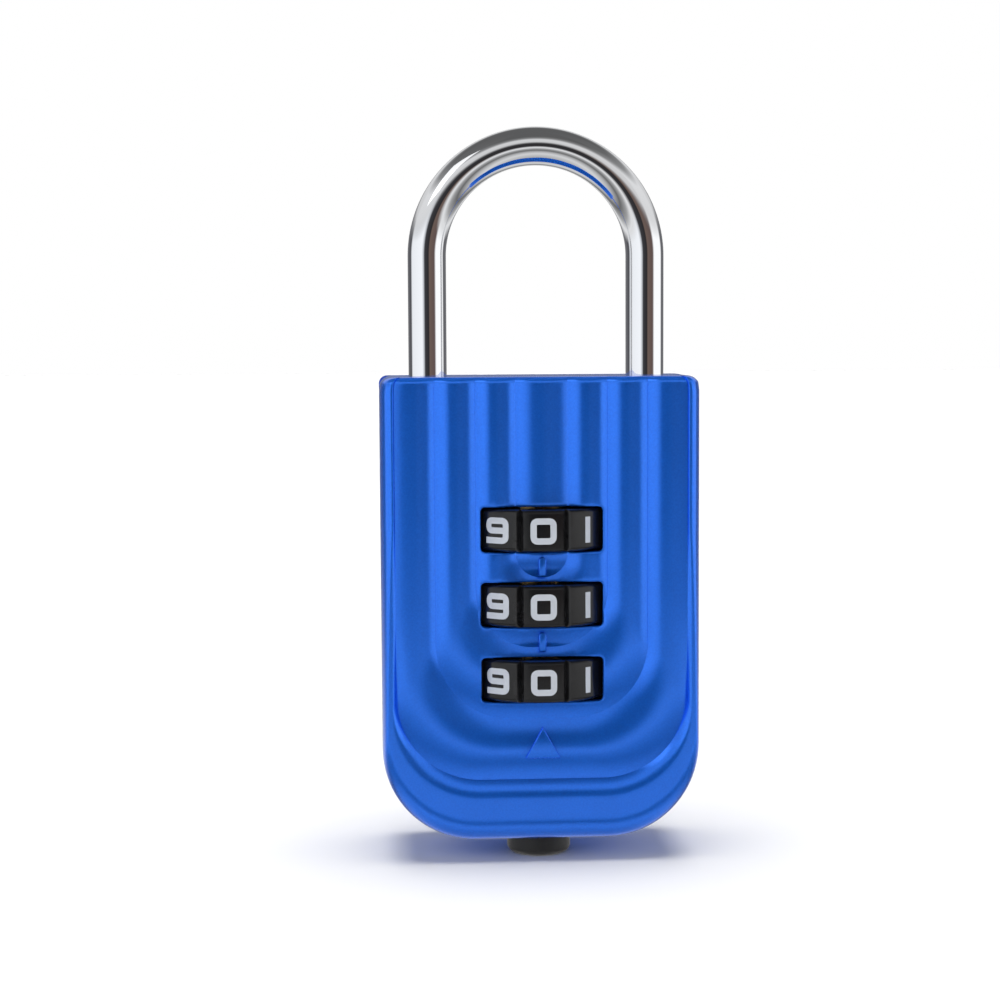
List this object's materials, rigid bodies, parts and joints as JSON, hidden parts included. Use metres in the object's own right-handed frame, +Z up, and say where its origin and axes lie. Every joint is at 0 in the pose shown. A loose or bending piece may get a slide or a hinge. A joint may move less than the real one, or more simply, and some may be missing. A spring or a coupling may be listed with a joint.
{
  "type": "combination padlock",
  "caption": "Padlock with a fluted metal body, a round bow shackle, resettable number dials in windows and a push button under the body that releases the shackle.",
  "frame": {"origin": "centre of the part's box in X and Y, level with the bottom of the push button", "axes": "+Z up along the shackle legs, -Y out of the front with the dial windows, +X to the right seen from the front"},
  "size_m": [0.034, 0.0176, 0.0785],
  "materials": {
    "blue_lacquer": "metallic blue lacquer, glossy",
    "bright_chrome": "polished chrome plate",
    "black_dial": "gloss black with pale digits",
    "black_button": "satin black",
    "brass": "machined",
    "zinc": "as cast",
    "spring_steel": "bright wire"
  },
  "bodies": {
    "case": {"front_shell": "blue_lacquer", "back_shell": "blue_lacquer", "case_rivets": "blue_lacquer", "lower_guide_plate": "zinc", "upper_guide_plate": "zinc", "spring_guide_pin": "spring_steel", "reset_guide_pin": "spring_steel", "detent_spring": "spring_steel", "latch_spring": "spring_steel", "shackle_spring": "spring_steel", "button_spring": "spring_steel", "reset_spring": "spring_steel"},
    "shackle": {"shackle": "bright_chrome", "heel_retaining_ring": "spring_steel"},
    "push_rod": {"button": "black_button", "spindle": "spring_steel", "blocking_collar": "zinc"},
    "reset_carriage": {"reset_carriage": "zinc"},
    "dial_top": {"dial_top": "black_dial"},
    "sleeve_top": {"sleeve_top": "brass"},
    "dial_middle": {"dial_middle": "black_dial"},
    "sleeve_middle": {"sleeve_middle": "brass"},
    "dial_bottom": {"dial_bottom": "black_dial"},
    "sleeve_bottom": {"sleeve_bottom": "brass"}
  },
  "joints": [
    {"name": "shackle_lift", "type": "slide", "parent": "case", "child": "shackle", "axis": [0, 0, 1], "range_m": [0, 0.009], "deforming": ["shackle_spring", "latch_spring"]},
    {"name": "button_press", "type": "slide", "parent": "case", "child": "push_rod", "axis": [0, 0, 1], "range_m": [0, 0.0018], "stiffness_N_per_m": 300, "springref_m": -0.003, "deforming": ["button_spring"]},
    {"name": "reset_shift", "type": "slide", "parent": "case", "child": "reset_carriage", "axis": [0, 0, -1], "range_m": [0, 0.0016], "stiffness_N_per_m": 250, "springref_m": -0.003, "deforming": ["reset_spring"]},
    {"name": "dial_top_spin", "type": "hinge", "parent": "case", "child": "dial_top", "pos_m": [0, -0.0006, 0.0358], "axis": [0, 0, 1], "continuous": true},
    {"name": "sleeve_top_shift", "type": "slide", "parent": "dial_top", "child": "sleeve_top", "axis": [0, 0, -1], "range_m": [0, 0.0016]},
    {"name": "dial_middle_spin", "type": "hinge", "parent": "case", "child": "dial_middle", "pos_m": [0, -0.0006, 0.0278], "axis": [0, 0, 1], "continuous": true, "deforming": ["detent_spring"]},
    {"name": "sleeve_middle_shift", "type": "slide", "parent": "dial_middle", "child": "sleeve_middle", "axis": [0, 0, -1], "range_m": [0, 0.0016]},
    {"name": "dial_bottom_spin", "type": "hinge", "parent": "case", "child": "dial_bottom", "pos_m": [0, -0.0006, 0.0198], "axis": [0, 0, 1], "continuous": true},
    {"name": "sleeve_bottom_shift", "type": "slide", "parent": "dial_bottom", "child": "sleeve_bottom", "axis": [0, 0, -1], "range_m": [0, 0.0016]}
  ],
  "couplings": [
    {"joint": "sleeve_top_shift", "follows": "reset_shift", "ratio": 1},
    {"joint": "sleeve_middle_shift", "follows": "reset_shift", "ratio": 1},
    {"joint": "sleeve_bottom_shift", "follows": "reset_shift", "ratio": 1}
  ]
}
